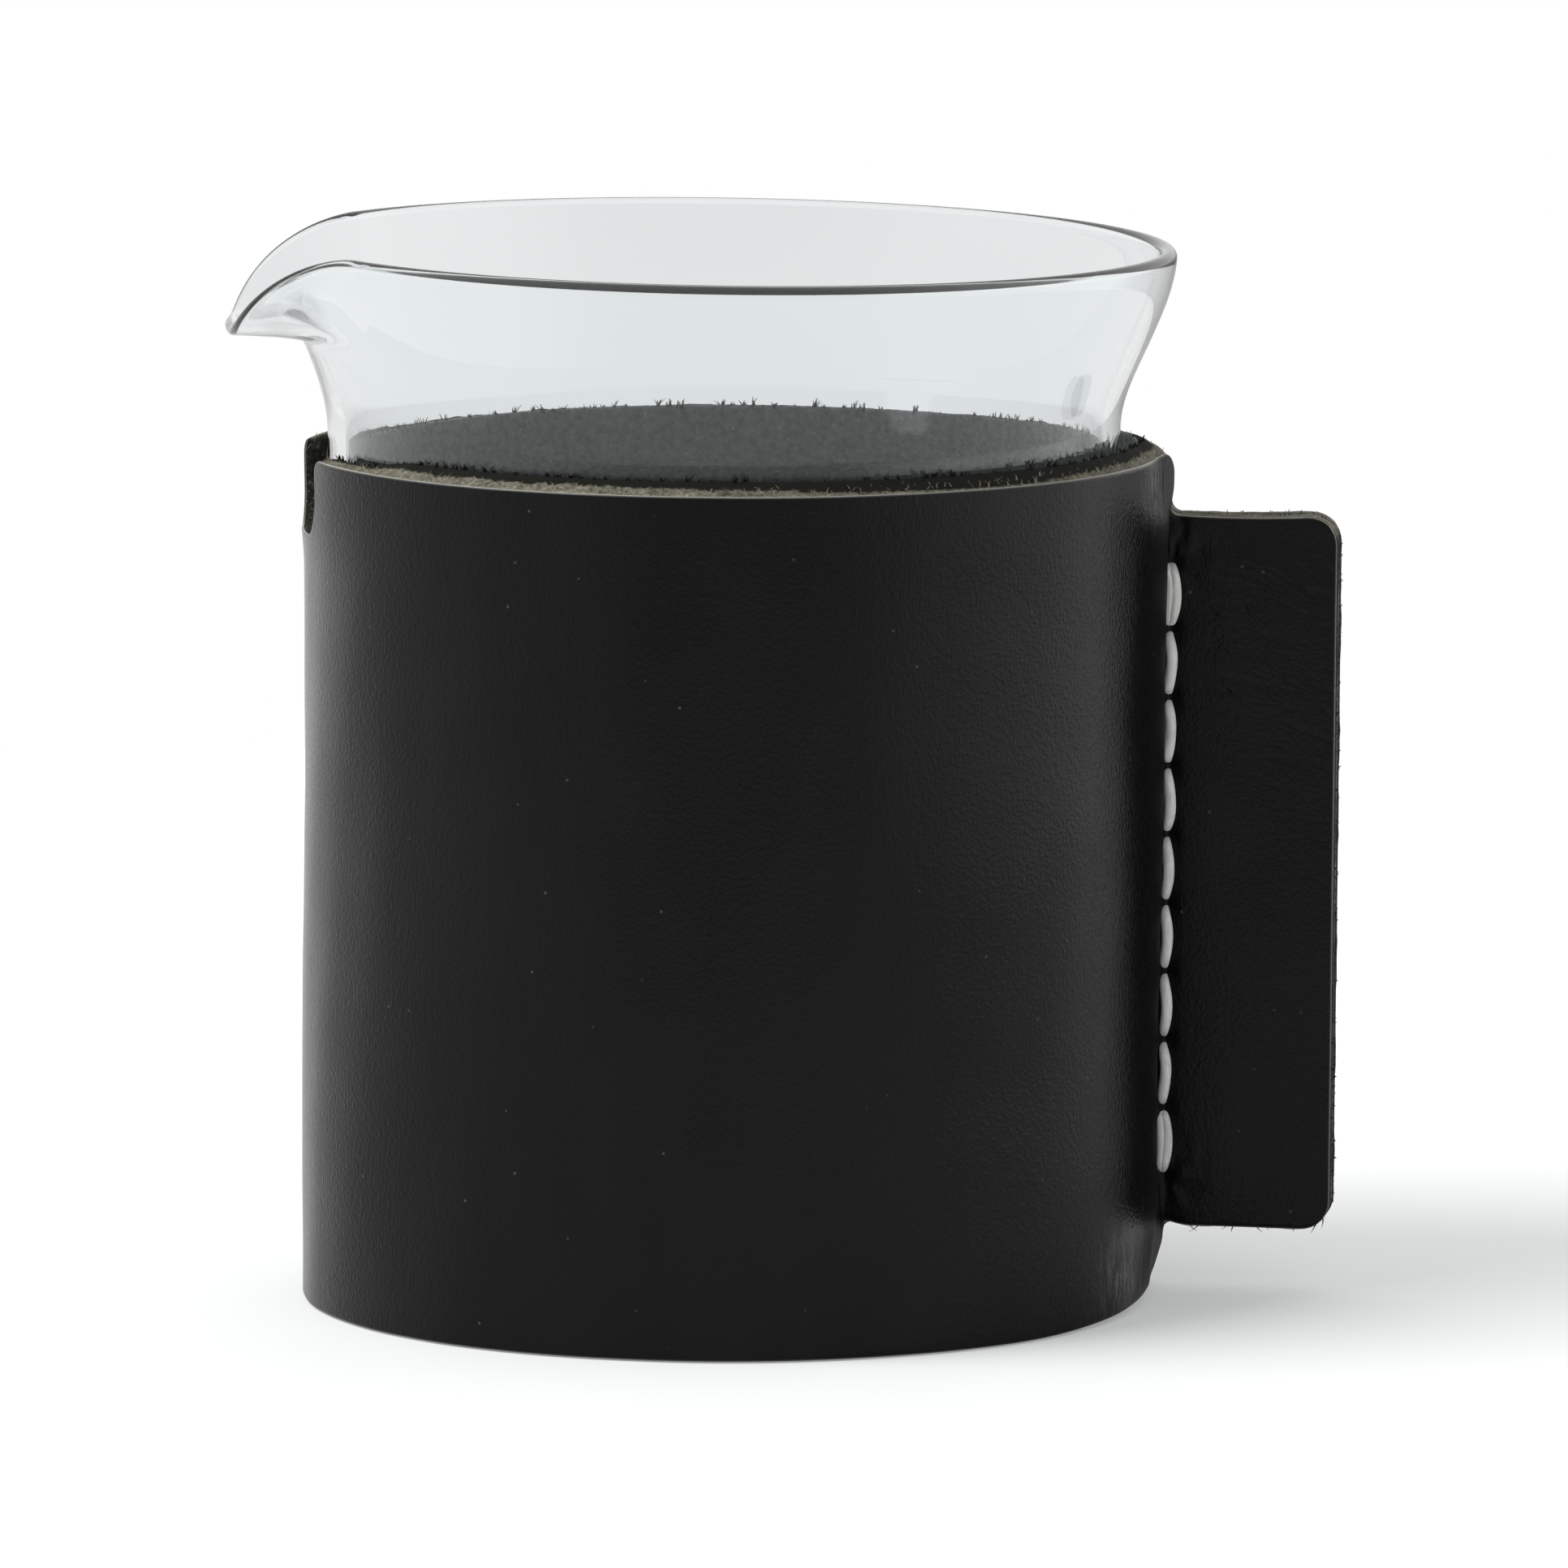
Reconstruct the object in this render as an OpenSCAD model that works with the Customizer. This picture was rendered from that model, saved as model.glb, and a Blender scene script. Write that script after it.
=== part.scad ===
// Glass serving jug in a sewn leather sleeve.
// The jug stands on z = 0 with its axis on z, the spout points to -x and the handle to +x.
// All lengths are in millimetres and all angles in degrees.

/* [Jug] */
// Outer diameter of the straight glass body
jug_d = 80; // [60:1:110]
// Height of the rim above the table
jug_h = 107; // [85:1:150]
// Thickness of the glass wall
jug_wall = 1.8; // [1.2:0.1:3]
// Thickness of the glass bottom
jug_bottom = 2.6; // [1.6:0.1:5]
// Outer radius of the corner between bottom and wall
heel_r = 7; // [4:0.5:12]
// Height of the flared neck, from the straight body to the rim
neck_h = 19; // [16:0.5:26]
// How far the rim stands out beyond the straight body
flare = 5.7; // [3:0.1:9]
// How much higher the rim is at the spout than at the jug's sides
rim_rise = 0.7; // [0:0.1:2]

/* [Spout] */
// Height of the lip that is folded out to make the spout
lip_h = 9.8; // [7:0.1:12]
// Angle from upright that the lip is folded out to at the middle of the spout
spout_fold = 87.5; // [45:0.5:95]
// Half of the angle that the spout takes up on the rim
spout_half_angle = 34; // [24:1:45]
// Angle about the axis in which each side of the spout comes down from the rim
spout_side = 28; // [16:1:34]
// Share of the lip's height that the fold gathers up at the middle of the spout
spout_gather = 0.3; // [0:0.01:0.4]
// Height over which the lip bends from the neck into the spout
spout_bend = 2.6; // [2:0.1:8]

/* [Sleeve] */
// Thickness of the leather
leather_t = 2.6; // [1.6:0.1:4]
// Gap between the leather and the glass at the notch, where they lie closest
fit_gap = 0.3; // [0.2:0.05:1]
// How far the sleeve's axis lies behind the jug's, towards the handle, where the leather is slack
slack = 0.5; // [0:0.1:1.5]
// Straight glass that shows above the sleeve before the neck flares
bare_band = 2; // [0:0.5:10]
// Width of the notch below the spout
notch_w = 13; // [8:0.5:24]
// Depth of the notch below the sleeve's top edge
notch_d = 8; // [5:0.5:20]
// Radius of the notch's two lower corners
notch_r = 4.5; // [1:0.5:6]
// Rounding of the notch's two upper corners
notch_lip_r = 1; // [0.4:0.1:3]

/* [Handle] */
// Width of the handle from the stitches to its free edge
handle_w = 16.2; // [10:0.1:40]
// How far the handle stops short of the sleeve's top and bottom edges
handle_inset = 6.5; // [5:0.5:15]
// Radius of the handle's outer corners
handle_corner_r = 3; // [1:0.5:8]
// Angle by which the handle leans to the -y side
handle_lean = 12; // [0:1:20]
// Gap between the handle's two leaves
leaf_gap = 0.2; // [0.1:0.05:0.6]
// Outer radius of the fold where each leaf leaves the sleeve
crease_r = 1; // [0.9:0.1:3]
// Rounding of the sleeve's corner above the handle
shoulder_r = 2.5; // [0.5:0.1:4]
// Rounding of the sleeve's corner below the handle
low_shoulder_r = 5.2; // [0.5:0.1:6]
// Radius of the inner corners between the sleeve's end and the handle
root_r = 1.2; // [0.3:0.1:2]

/* [Stitching] */
// Distance from one stitch hole to the next
stitch_pitch = 7; // [4:0.5:10]
// Least distance from the last stitch hole to the handle's end
stitch_margin = 4.5; // [3:0.5:12]
// Thickness of the thread
thread_d = 1.3; // [0.8:0.1:1.5]
// Gap between the thread and the leather all round
thread_gap = 0.1; // [0.05:0.05:0.3]

/* [Hidden] */
$fn = 96;

glass_color = [0.86, 0.91, 0.91, 0.35];
leather_color = [0.075, 0.075, 0.08];
thread_color = [0.83, 0.84, 0.82];
// Length by which a cutter runs past what it cuts
past = 1;
// Largest turn between two points of an arc
arc_step = 3;

// Jug
jug_r = jug_d / 2;
neck_z = jug_h - neck_h;
// Steps of the neck's outline up the glass, round the rim and about the axis
neck_steps = 18;
rim_steps = 6;
turn_steps = 90;
// Share by which the steps about the axis close up at the spout
turn_bias = 0.35;
// The neck's wall runs down inside the body's wall to this depth. Its faces lie just inside
// the body's there, by more than a step about the axis departs from a true circle
neck_root = 3;
neck_seat = 0.02 + jug_r * (1 - cos(180 / turn_steps * (1 + turn_bias)));
neck_r = jug_r - neck_seat;
neck_wall = jug_wall - 2 * neck_seat;
// The outline of the wall goes up to here, and the rim's round adds the rest
neck_top = neck_h - neck_wall / 2;

// Sleeve
sleeve_h = neck_z - bare_band;
inner_r = jug_r + fit_gap + slack;
outer_r = inner_r + leather_t;

thread_r = thread_d / 2;

// Handle frame: the leaves meet at root_x from the sleeve's axis, and the handle runs along leaf_dir
leaf_t = leather_t + leaf_gap / 2;
root_x = sqrt(pow(outer_r + crease_r, 2) - pow(leaf_t + crease_r, 2));
leaf_dir = [cos(handle_lean), -sin(handle_lean)];
leaf_side = [sin(handle_lean), cos(handle_lean)];
root = [root_x, 0];
// Where each leaf becomes straight: back is the +y leaf and front the -y one
back_start = fold_start(1);
front_start = fold_start(-1);
leaves_start = max(back_start, front_start);
stitch_a = leaves_start + thread_r + thread_gap;
handle_end = stitch_a + handle_w;
// The sleeve's ends above and below the handle stop just short of the line of stitches
shoulder_a = stitch_a - 0.7 * thread_d;
handle_z0 = handle_inset;
handle_z1 = sleeve_h - handle_inset;

// Stitching
stitch_count = floor((handle_z1 - handle_z0 - 2 * stitch_margin) / stitch_pitch);
stitch_z0 = sleeve_h / 2 - stitch_count * stitch_pitch / 2;
hole_r = thread_r + thread_gap;
// Height of the thread's middle above the middle of the handle
thread_lift = leaf_t + thread_gap + thread_r;
// Half of the distance between the two strands of a doubled stitch
strand_shift = thread_r * 0.9;

// Smooth step from 0 to 1
function ease(t) = let (c = min(max(t, 0), 1)) c * c * (3 - 2 * c);
function ease_slope(t) = let (c = min(max(t, 0), 1)) 6 * c * (1 - c);

// Middle of the fold between the sleeve and one leaf: it touches the sleeve's
// outer face and the leaf's outer face, each at the crease radius
function fold_start(side) =
    let (q = root + side * (leaf_t + crease_r) * leaf_side, along = q * leaf_dir)
    -along + sqrt(along * along - q * q + pow(outer_r + crease_r, 2));
function fold_middle(side) =
    root + fold_start(side) * leaf_dir + side * (leaf_t + crease_r) * leaf_side;
function on_leaf(a, n) = root + a * leaf_dir + n * leaf_side;
// Points along an arc, without its last one
function arc(middle, r, from, to) =
    let (steps = ceil(abs(to - from) / arc_step))
    [for (i = [0 : steps - 1])
        let (a = from + (to - from) * i / steps) middle + r * [cos(a), sin(a)]];

// How much of the spout there is at an angle from its middle: 1 at the middle, 0 away from it
function spout_share(angle) = ease((spout_half_angle - abs(angle)) / spout_side);
// How much a height up the neck belongs to the folded lip: 0 below the bend, 1 above it
function lip_ramp(h) = ease((h - (neck_h - lip_h)) / spout_bend + 0.5);
// Angle of the glass from upright at a height up the neck: the flare's own, or the spout's fold
function flare_lean(h) = atan(flare / neck_h * ease_slope(h / neck_h));
function neck_lean(h, share) =
    flare_lean(h) + (spout_fold - flare_lean(h)) * share * lip_ramp(h);
function neck_stretch(h, share) = 1 - spout_gather * share * lip_ramp(h);
// The outer outline of the neck at one angle: radius, height and lean, added up step by step
function neck_outline(share) =
    let (dh = neck_top / neck_steps)
    [for (i = 0, r = neck_r, z = neck_z, h = 0;
          i <= neck_steps;
          m = neck_lean(h + dh / 2, share),
          d = dh * neck_stretch(h + dh / 2, share) / cos(flare_lean(h + dh / 2)),
          r = r + d * sin(m), z = z + d * cos(m), h = h + dh, i = i + 1)
        [r, z, neck_lean(h, share)]];
// The whole closed outline of the wall at one angle: up the outside, round the rim, down the inside
function wall_outline(share) =
    let (outer = neck_outline(share), last = outer[neck_steps], half = neck_wall / 2,
         mid = [last[0], last[1]] - half * [cos(last[2]), -sin(last[2])])
    concat(
        [[neck_r, neck_z - neck_root]],
        [for (p = outer) [p[0], p[1]]],
        [for (k = [1 : rim_steps - 1])
            let (g = 180 * k / rim_steps)
            mid + half * cos(g) * [cos(last[2]), -sin(last[2])]
                + half * sin(g) * [sin(last[2]), cos(last[2])]],
        [for (i = [neck_steps : -1 : 0])
            let (p = outer[i])
            [p[0] - neck_wall * cos(p[2]), p[1] + neck_wall * sin(p[2])]],
        [[neck_r - neck_wall, neck_z - neck_root]]);

// Half outline of a straight-walled pot with a rounded heel
module pot_outline(r, top, corner) {
    intersection() {
        union() {
            square([r - corner, top]);
            translate([0, corner]) square([r, top - corner]);
            translate([r - corner, corner]) circle(corner);
        }
        square([r, top]);
    }
}

module jug_body() {
    rotate_extrude()
        difference() {
            pot_outline(jug_r, neck_z, heel_r);
            translate([0, jug_bottom])
                pot_outline(jug_r - jug_wall, neck_z, heel_r - jug_wall);
        }
}

module jug_neck() {
    angles = [for (i = [0 : turn_steps - 1])
        let (u = 360 * i / turn_steps - 180) u - turn_bias * sin(u) * 180 / PI];
    outlines = [for (a = angles) wall_outline(spout_share(a))];
    ring = len(outlines[0]);
    points = [for (i = [0 : turn_steps - 1], p = outlines[i])
        let (rise = rim_rise * cos(angles[i]) * ease((p[1] - neck_z) / lip_h))
        [-p[0] * cos(angles[i]), -p[0] * sin(angles[i]), p[1] + rise]];
    faces = [for (i = [0 : turn_steps - 1], j = [0 : ring - 1])
        let (i2 = (i + 1) % turn_steps, j2 = (j + 1) % ring,
             a = i * ring + j, b = i2 * ring + j, c = i2 * ring + j2, d = i * ring + j2)
        each [[a, c, b], [a, d, c]]];
    polyhedron(points, faces);
}

module glass_jug() {
    color(glass_color) {
        jug_body();
        jug_neck();
    }
}

// The sleeve's plan, one closed line round the strip: out along the handle's back leaf,
// round the sleeve, along the front leaf, and back the same way on the inner side
module sleeve_plan() {
    back = fold_middle(1);
    front = fold_middle(-1);
    back_turn = atan2(back[1], back[0]);
    front_turn = atan2(front[1], front[0]) + 360;
    leaf_turn = 90 - handle_lean;
    polygon(concat(
        [on_leaf(handle_end, leaf_t)],
        arc(back, crease_r, leaf_turn + 180, back_turn + 180),
        arc([0, 0], outer_r, back_turn, front_turn),
        arc(front, crease_r, front_turn - 180, leaf_turn),
        [on_leaf(front_start, -leaf_t), on_leaf(handle_end, -leaf_t),
         on_leaf(handle_end, -leaf_gap / 2)],
        arc(front, crease_r + leather_t, leaf_turn, front_turn - 180),
        arc([0, 0], inner_r, front_turn, back_turn),
        arc(back, crease_r + leather_t, back_turn + 180, leaf_turn + 180),
        [on_leaf(back_start, leaf_gap / 2), on_leaf(handle_end, leaf_gap / 2)]));
}

// Puts a drawing of the handle's face, with a along the handle and z up, across both leaves
module across_handle(depth) {
    translate([root_x, 0, 0]) rotate(-handle_lean) rotate([90, 0, 0])
        linear_extrude(height = depth, center = true) children();
}

// What is cut away above the handle: the rounded end of the sleeve, the inner corner
// and the handle's own outer corner. The sleeve's round is limited by the height of its end
module above_handle(round_r) {
    step = sleeve_h - handle_z1;
    r = min(round_r, step - root_r);
    difference() {
        translate([shoulder_a - r, handle_z1])
            square([handle_end - shoulder_a + r + past, step + past]);
        translate([shoulder_a - r - past, handle_z1 - past])
            square([r + past, step - r + past]);
        translate([shoulder_a - r, sleeve_h - r]) circle(r);
        difference() {
            translate([shoulder_a - past, handle_z1 - past]) square(root_r + past);
            translate([shoulder_a + root_r, handle_z1 + root_r]) circle(root_r);
        }
    }
    difference() {
        translate([handle_end - handle_corner_r, handle_z1 - handle_corner_r])
            square(handle_corner_r + past);
        translate([handle_end - handle_corner_r, handle_z1 - handle_corner_r])
            circle(handle_corner_r);
    }
}

// The notch below the spout, drawn with y across and z up
module notch_outline() {
    bottom = sleeve_h - notch_d;
    half = notch_w / 2;
    corner = min(notch_r, half);
    translate([-half, bottom + corner]) square([notch_w, notch_d - corner + past]);
    translate([corner - half, bottom]) square([notch_w - 2 * corner, corner + past]);
    for (side = [-1, 1]) {
        translate([side * (half - corner), bottom + corner]) circle(corner);
        difference() {
            translate([side * half - notch_lip_r, sleeve_h - notch_lip_r])
                square([2 * notch_lip_r, notch_lip_r + past]);
            translate([side * (half + notch_lip_r), sleeve_h - notch_lip_r]) circle(notch_lip_r);
        }
    }
}

module stitch_holes() {
    for (i = [0 : stitch_count])
        translate([root_x, 0, stitch_z0 + i * stitch_pitch]) rotate(-handle_lean)
            translate([stitch_a, 0, 0]) rotate([90, 0, 0])
                cylinder(r = hole_r, h = 2 * (thread_lift + past), center = true);
}

module leather_sleeve() {
    color(leather_color) translate([slack, 0, 0])
        difference() {
            linear_extrude(sleeve_h) sleeve_plan();
            across_handle(2 * outer_r) above_handle(shoulder_r);
            translate([0, 0, sleeve_h]) mirror([0, 0, 1])
                across_handle(2 * outer_r) above_handle(low_shoulder_r);
            translate([-outer_r - past, 0, 0]) rotate([90, 0, 90])
                linear_extrude(jug_r) notch_outline();
            stitch_holes();
        }
}

// A straight length of thread with round ends, from one height to another
module strand(a, n, z0, z1) {
    translate([a, n, z0]) {
        cylinder(r = thread_r, h = z1 - z0);
        sphere(thread_r);
        translate([0, 0, z1 - z0]) sphere(thread_r);
    }
}

module stitching_thread() {
    color(thread_color)
        translate([slack + root_x, 0, stitch_z0]) rotate(-handle_lean)
            for (i = [0 : stitch_count]) {
                translate([stitch_a, 0, i * stitch_pitch]) rotate([90, 0, 0])
                    cylinder(r = thread_r, h = 2 * thread_lift, center = true);
                if (i < stitch_count)
                    for (side = [-1, 1]) {
                        doubled = i == 0 || i == stitch_count - 1;
                        for (shift = doubled ? [-strand_shift, strand_shift] : [0])
                            strand(stitch_a + shift, side * thread_lift,
                                   i * stitch_pitch, (i + 1) * stitch_pitch);
                    }
            }
}

glass_jug();
leather_sleeve();
stitching_thread();
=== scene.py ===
"""Glass serving jug in a sewn leather sleeve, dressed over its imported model.

The jug's axis is z, the spout points to -x and the handle to +x. Meshes are worked out in
millimetres and put into Blender in metres.
"""

import bpy
import numpy as np
from mathutils import Matrix


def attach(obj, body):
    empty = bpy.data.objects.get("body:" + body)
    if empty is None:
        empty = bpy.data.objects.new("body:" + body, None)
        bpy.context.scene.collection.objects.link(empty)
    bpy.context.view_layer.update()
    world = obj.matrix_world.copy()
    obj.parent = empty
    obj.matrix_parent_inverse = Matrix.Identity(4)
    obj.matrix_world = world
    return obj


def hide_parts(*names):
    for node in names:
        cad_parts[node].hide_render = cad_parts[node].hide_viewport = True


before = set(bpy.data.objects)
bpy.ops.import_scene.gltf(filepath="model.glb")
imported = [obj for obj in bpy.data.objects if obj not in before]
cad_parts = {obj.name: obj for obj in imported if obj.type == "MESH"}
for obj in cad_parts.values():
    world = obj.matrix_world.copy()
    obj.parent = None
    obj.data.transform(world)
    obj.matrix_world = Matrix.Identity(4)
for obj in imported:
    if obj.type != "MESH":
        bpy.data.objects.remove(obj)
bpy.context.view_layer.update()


# Glass jug: one piece of clear blown glass with a flat bottom, a rounded heel, a straight wall and
# a flared neck. Its rim is fire-polished round, and the spout is pulled out of the soft rim opposite
# the handle. It stands loose in the sleeve, on its own bottom.
jug_radius = 40.0
jug_height = 107.0
glass_wall = 1.8
glass_bottom = 2.6
bottom_rise = 0.4
bottom_rise_reach = 30.0
bottom_middle = 2.0
heel_round = 7.0
neck_height = 19.0
neck_start = jug_height - neck_height
rim_flare = 5.7
rim_rise = 0.7
lip_height = 9.8
lip_bend = 2.6
spout_fold = np.radians(87.5)
spout_half_angle = np.radians(34.0)
spout_side = np.radians(28.0)
spout_gather = 0.27
spout_thinning = 0.45
spout_crowding = 0.35
jug_turn = np.radians(-2.9)
glass_tint = (0.970, 0.994, 0.999, 1.0)
jug_columns = 288
neck_rows = 49
wall_rows = 13
round_rows = 11
bottom_rows = 9


def smooth_step(t):
    """Smooth step from 0 to 1: three t squared less two t cubed, for t held between 0 and 1."""
    held = np.clip(t, 0.0, 1.0)
    return held * held * (3.0 - 2.0 * held)


def grid_quads(rows, columns, close_columns=False):
    """Four point numbers for each cell of a grid that is stored row by row, wrapped where asked."""
    row = np.arange(rows - 1)[:, None]
    column = np.arange(columns if close_columns else columns - 1)[None, :]
    next_row = row + 1
    next_column = (column + 1) % columns
    corners = (row * columns + column, row * columns + next_column,
               next_row * columns + next_column, next_row * columns + column)
    return np.stack(np.broadcast_arrays(*corners), axis=-1).reshape(-1, 4)


def fan(rings, poles):
    """Triangles from each side of closed rings of points to their poles."""
    corners = (rings, np.roll(rings, -1, axis=-1), np.broadcast_to(poles, rings.shape))
    return np.stack(corners, axis=-1).reshape(-1, 3)


def bring_in(name, data):
    """Object in the scene that holds a mesh, a lamp or a camera."""
    holder = bpy.data.objects.new(name, data)
    bpy.context.scene.collection.objects.link(holder)
    return holder


def make_piece(name, points, quads, triangles=None):
    """Smooth mesh object from points in millimetres. A skin whose volume comes out below zero, as the
    sum of its triangles' triple products, is inside out and is turned."""
    faces = [quads]
    halves = [quads[:, [0, 1, 2]], quads[:, [0, 2, 3]]]
    if triangles is not None:
        faces.append(triangles)
        halves.append(triangles)
    corner = points[np.concatenate(halves)]
    volume = np.einsum("ij,ij->", corner[:, 0], np.cross(corner[:, 1], corner[:, 2]))
    if volume < 0.0:
        faces = [part[:, ::-1] for part in faces]
    mesh = bpy.data.meshes.new(name)
    mesh.from_pydata((points * 0.001).tolist(), [], sum((part.tolist() for part in faces), []))
    mesh.polygons.foreach_set("use_smooth", np.ones(len(mesh.polygons), bool))
    mesh.update()
    return bring_in(name, mesh)


def neck_lean(height, share):
    """Angle of the glass from upright: the slope of an S-curve that carries the wall out by the
    flare, which turns into the spout's fold by a smooth step below the lip."""
    up = height / neck_height
    flare = np.arctan(rim_flare / neck_height * 6.0 * up * (1.0 - up))
    return flare + (spout_fold - flare) * share * lip_share(height)


def lip_share(height):
    """How far a height up the neck belongs to the folded lip: a smooth step about its lower edge."""
    return smooth_step((height - (neck_height - lip_height)) / lip_bend + 0.5)


def jug_outline(angle):
    """Radius and height of the glass at each angle from the spout: along the bottom, round the heel
    and up the wall, then steps along the neck's lean added up, round the rim, and back inside. The
    spout's lip is pulled thinner than the wall."""
    share = smooth_step((spout_half_angle - np.abs(angle)) / spout_side)[None, :]
    level = np.linspace(0.0, neck_height - glass_wall / 2.0, neck_rows)[:, None]
    middle = (level[1:] + level[:-1]) / 2.0
    step = np.diff(level, axis=0) * (1.0 - spout_gather * share * lip_share(middle))
    step = step / np.cos(neck_lean(middle, 0.0))
    lean = neck_lean(middle, share)
    zero = np.zeros_like(share)
    neck_r = jug_radius + np.concatenate([zero, np.cumsum(step * np.sin(lean), axis=0)])
    neck_z = neck_start + np.concatenate([zero, np.cumsum(step * np.cos(lean), axis=0)])
    lean = neck_lean(level, share)
    wall = glass_wall * (1.0 - spout_thinning * share * smooth_step(level / neck_height))
    inner_r = neck_r - wall * np.cos(lean)
    inner_z = neck_z + wall * np.sin(lean)
    turn = np.linspace(0.0, np.pi, round_rows)[1:-1, None]
    rim_r = (neck_r[-1] + inner_r[-1]) / 2.0 + wall[-1] / 2.0 * (
        np.cos(turn) * np.cos(lean[-1]) + np.sin(turn) * np.sin(lean[-1]))
    rim_z = (neck_z[-1] + inner_z[-1]) / 2.0 + wall[-1] / 2.0 * (
        np.sin(turn) * np.cos(lean[-1]) - np.cos(turn) * np.sin(lean[-1]))
    quarter = np.linspace(0.0, np.pi / 2.0, round_rows)[:, None]
    bottom_r = np.linspace(bottom_middle, jug_radius - heel_round, bottom_rows)[:-1, None]
    bottom_z = bottom_rise * (1.0 - smooth_step(bottom_r / bottom_rise_reach))
    heel_r = jug_radius - heel_round + heel_round * np.sin(quarter)
    heel_z = heel_round - heel_round * np.cos(quarter)
    wall_z = np.linspace(heel_round, neck_start, wall_rows)[1:-1, None]
    floor_round = heel_round - glass_wall
    floor_r = jug_radius - heel_round + floor_round * np.sin(quarter)
    floor_z = glass_bottom + floor_round - floor_round * np.cos(quarter)
    inside_z = np.linspace(glass_bottom + floor_round, neck_start, wall_rows)[1:-1, None]
    radius = [bottom_r, heel_r, np.full_like(wall_z, jug_radius), neck_r, rim_r, inner_r[::-1],
              np.full_like(inside_z, jug_radius - glass_wall), floor_r[::-1], bottom_r[::-1]]
    height = [bottom_z, heel_z, wall_z, neck_z, rim_z, inner_z[::-1], inside_z[::-1],
              floor_z[::-1], np.full_like(bottom_r, glass_bottom)]
    return [np.concatenate([np.broadcast_to(part, (len(part), len(angle))) for part in parts])
            for parts in (radius, height)]


def put(owner, node, socket, value):
    """Sets an input of a material's or world's node, or joins it to another node's output."""
    if isinstance(value, bpy.types.NodeSocket):
        owner.node_tree.links.new(value, node.inputs[socket])
    else:
        node.inputs[socket].default_value = value


def put_all(owner, node, sockets):
    """Sets or joins inputs by their names, written with underscores for spaces."""
    for name, value in sockets.items():
        put(owner, node, name.replace("_", " "), value)


def new_finish(name):
    """Material with one Principled shader."""
    material = bpy.data.materials.new(name)
    material.use_nodes = True
    return material


def set_finish(material, **sockets):
    """Sets or joins the inputs of a material's Principled shader."""
    put_all(material, material.node_tree.nodes["Principled BSDF"], sockets)
    return material


def glass_finish():
    """Clear glass: a smooth refracting surface with a faint cool tint in its body."""
    return set_finish(new_finish("clear_glass"), Base_Color=glass_tint, Roughness=0.0, IOR=1.47,
                      Transmission_Weight=1.0)


turn = np.linspace(-np.pi, np.pi, jug_columns + 1)[:-1]
spout_angle = turn - spout_crowding * np.sin(turn)
jug_r, jug_z = jug_outline(spout_angle)
up_lip = smooth_step((jug_z - neck_start) / lip_height)
jug_z = jug_z + rim_rise * np.cos(spout_angle) * up_lip
stood = spout_angle + jug_turn
jug_points = np.stack([-jug_r * np.cos(stood), -jug_r * np.sin(stood), jug_z], axis=-1).reshape(-1, 3)
jug_poles = [[0.0, 0.0, bottom_rise], [0.0, 0.0, glass_bottom]]
jug_rows = len(jug_r)
first_ring = np.arange(jug_columns)
last_ring = first_ring + (jug_rows - 1) * jug_columns
jug = make_piece("glass_jug_blown", np.concatenate([jug_points, jug_poles]),
                 grid_quads(jug_rows, jug_columns, close_columns=True),
                 np.concatenate([fan(first_ring, len(jug_points))[:, ::-1],
                                 fan(last_ring, len(jug_points) + 1)]))
jug.data.materials.append(glass_finish())
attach(jug, "jug")
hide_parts("glass_jug")


# Leather sleeve: one strip of thick black leather, smooth grain side out. It goes once round the jug,
# and its ends turn out and lie against each other as the handle. The strip is cut by knife, so its
# edges are raw: rounded at the grain side, rough across, and fibrous at the flesh side.
leather = 2.6
sleeve_height = 86.0
sleeve_shift = 0.5
inner_radius = 40.8
outer_radius = inner_radius + leather
mid_radius = outer_radius - leather / 2.0
crease = 1.0
fold_radius = crease + leather / 2.0
leaf_clearance = 0.1
half_handle = leather + leaf_clearance
handle_low = 6.5
handle_high = sleeve_height - handle_low
handle_lean = np.radians(12.0)
leaf_along = np.array([np.cos(handle_lean), -np.sin(handle_lean)])
leaf_across = np.array([np.sin(handle_lean), np.cos(handle_lean)])
handle_root = np.array([np.sqrt((outer_radius + crease) ** 2 - (half_handle + crease) ** 2), 0.0])
# The back leaf comes first in these pairs, the front leaf second
leaf_sign = np.array([1.0, -1.0])
fold_reach = handle_root + leaf_sign[:, None] * (half_handle + crease) * leaf_across
fold_along = fold_reach @ leaf_along
leaf_start = fold_along ** 2 - (fold_reach ** 2).sum(axis=1) + (outer_radius + crease) ** 2
leaf_start = np.sqrt(leaf_start) - fold_along
fold_middle = fold_reach + leaf_start[:, None] * leaf_along
fold_turn = np.arctan2(fold_middle[:, 1], fold_middle[:, 0])
ring_end = mid_radius * (np.pi - np.abs(fold_turn))
fold_end = ring_end + fold_radius * (np.pi / 2.0 - leaf_sign * handle_lean - np.abs(fold_turn))
stitch_inset = 0.75
stitch_along = leaf_start.max() + stitch_inset
handle_width = 16.2
strip_end = fold_end + stitch_along + handle_width - leaf_start
shoulder_inset = 0.6
shoulder = fold_end + shoulder_inset - leaf_start
first_hole = 11.5
stitch_pitch = 7.0
hole_count = 10
hole_z = first_hole + stitch_pitch * np.arange(hole_count)


def leaf_of(u):
    """Half of the strip that a length lies on: 0 for the back leaf's half, 1 for the front leaf's."""
    return (u > 0.0).astype(int)


def on_circle(angle):
    """Points of a circle with a radius of 1."""
    return np.stack([np.cos(angle), np.sin(angle)], axis=-1)


def ring_angle(u, end):
    """Angle about the sleeve's axis at a length along the strip, up to the length where it leaves."""
    return leaf_sign[leaf_of(u)] * (np.pi - np.minimum(np.abs(u), end) / mid_radius)


def bell(distance):
    """Bell curve from 1 at no distance: e to the power of minus the distance squared."""
    return np.exp(-distance ** 2)


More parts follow.
